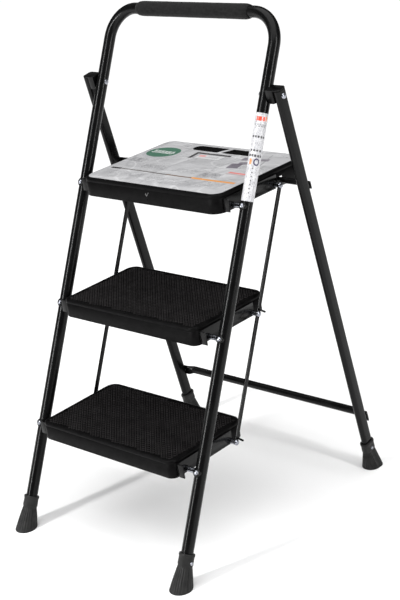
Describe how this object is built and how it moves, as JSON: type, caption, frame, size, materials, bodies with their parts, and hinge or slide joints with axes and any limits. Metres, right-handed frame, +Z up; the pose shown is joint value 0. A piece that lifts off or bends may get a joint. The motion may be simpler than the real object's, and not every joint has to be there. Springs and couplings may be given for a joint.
{
  "type": "folding step ladder",
  "caption": "Folding step ladder: bent-tube front frame with padded top bar, wide platform over flat treads, hinged rear legs with crossbars, flared rubber boots.",
  "frame": {"origin": "on the floor, at the middle of the footprint", "axes": "+Z up; the user climbs from -Y facing +Y, and the rear legs stand at +Y; +X is to the climber's right"},
  "size_m": [0.5628, 0.6102, 1.0123],
  "materials": {
    "black_paint": "smooth gloss black powder coat",
    "bright_steel": "bright zinc or nickel plate",
    "step_plastic": "moulded black, satin",
    "foam_grip": "matte soft sleeve",
    "boot_rubber": "matte moulded rubber",
    "cover_film": "pale printed film, slightly wrinkled",
    "label_film": "white printed film"
  },
  "bodies": {
    "front_frame": {"front_frame_tube": "black_paint", "hand_grip": "foam_grip", "rail_label": "label_film", "front_boot_left": "boot_rubber", "front_boot_right": "boot_rubber", "front_boot_screw_left": "bright_steel", "front_boot_screw_right": "bright_steel", "apex_pin_left": "bright_steel", "apex_pin_right": "bright_steel", "platform_pivot_pin_left": "bright_steel", "platform_pivot_pin_right": "bright_steel", "platform_front_bolt_left": "bright_steel", "platform_front_bolt_right": "bright_steel", "middle_pivot_pin_left": "bright_steel", "middle_pivot_pin_right": "bright_steel", "middle_front_bolt_left": "bright_steel", "middle_front_bolt_right": "bright_steel", "lower_pivot_pin_left": "bright_steel", "lower_pivot_pin_right": "bright_steel", "lower_front_bolt_left": "bright_steel", "lower_front_bolt_right": "bright_steel"},
    "rear_frame": {"rear_leg_left": "black_paint", "rear_leg_right": "black_paint", "rear_leg_cap_left": "step_plastic", "rear_leg_cap_right": "step_plastic", "hinge_bracket_left": "black_paint", "hinge_bracket_right": "black_paint", "rear_boot_left": "boot_rubber", "rear_boot_right": "boot_rubber", "rear_boot_screw_left": "bright_steel", "rear_boot_screw_right": "bright_steel", "upper_crossbar_rivet_left": "bright_steel", "upper_crossbar_rivet_right": "bright_steel", "lower_crossbar_rivet_left": "bright_steel", "lower_crossbar_rivet_right": "bright_steel", "upper_crossbar": "black_paint", "lower_crossbar": "black_paint"},
    "platform": {"platform_deck": "step_plastic", "platform_cover": "cover_film", "platform_saddle_left": "step_plastic", "platform_saddle_right": "step_plastic", "platform_bracket_left": "black_paint", "platform_bracket_right": "black_paint", "platform_link_rivet_left": "bright_steel", "platform_link_rivet_right": "bright_steel"},
    "middle_tread": {"middle_tread": "step_plastic", "middle_bracket_left": "black_paint", "middle_bracket_right": "black_paint", "middle_link_rivet_left": "bright_steel", "middle_link_rivet_right": "bright_steel"},
    "lower_tread": {"lower_tread": "step_plastic", "lower_bracket_left": "black_paint", "lower_bracket_right": "black_paint", "lower_link_rivet_left": "bright_steel", "lower_link_rivet_right": "bright_steel"},
    "link_left": {"link_bar_left": "black_paint"},
    "link_right": {"link_bar_right": "black_paint"}
  },
  "joints": [
    {"name": "platform_fold", "type": "hinge", "parent": "front_frame", "child": "platform", "pos_m": [0, 0.03641, 0.6612], "axis": [1, 0, 0], "range_deg": [0, 59]},
    {"name": "middle_tread_fold", "type": "hinge", "parent": "front_frame", "child": "middle_tread", "pos_m": [0, -0.07428, 0.4312], "axis": [1, 0, 0], "range_deg": [0, 59]},
    {"name": "lower_tread_fold", "type": "hinge", "parent": "front_frame", "child": "lower_tread", "pos_m": [0, -0.18497, 0.2012], "axis": [1, 0, 0], "range_deg": [0, 59]},
    {"name": "rear_frame_swing", "type": "hinge", "parent": "front_frame", "child": "rear_frame", "pos_m": [0, 0.12955, 0.85472], "axis": [1, 0, 0], "range_deg": [-32.9, 0]},
    {"name": "link_left_swing", "type": "hinge", "parent": "platform", "child": "link_left", "pos_m": [-0.2032, 0.16221, 0.6612], "axis": [1, 0, 0], "range_deg": [-59, 0]},
    {"name": "link_right_swing", "type": "hinge", "parent": "platform", "child": "link_right", "pos_m": [0.2032, 0.16221, 0.6612], "axis": [1, 0, 0], "range_deg": [-59, 0]}
  ],
  "couplings": [
    {"joint": "middle_tread_fold", "follows": "platform_fold", "ratio": 1},
    {"joint": "lower_tread_fold", "follows": "platform_fold", "ratio": 1},
    {"joint": "rear_frame_swing", "follows": "platform_fold", "ratio": -0.557},
    {"joint": "link_left_swing", "follows": "platform_fold", "ratio": -1},
    {"joint": "link_right_swing", "follows": "platform_fold", "ratio": -1}
  ]
}
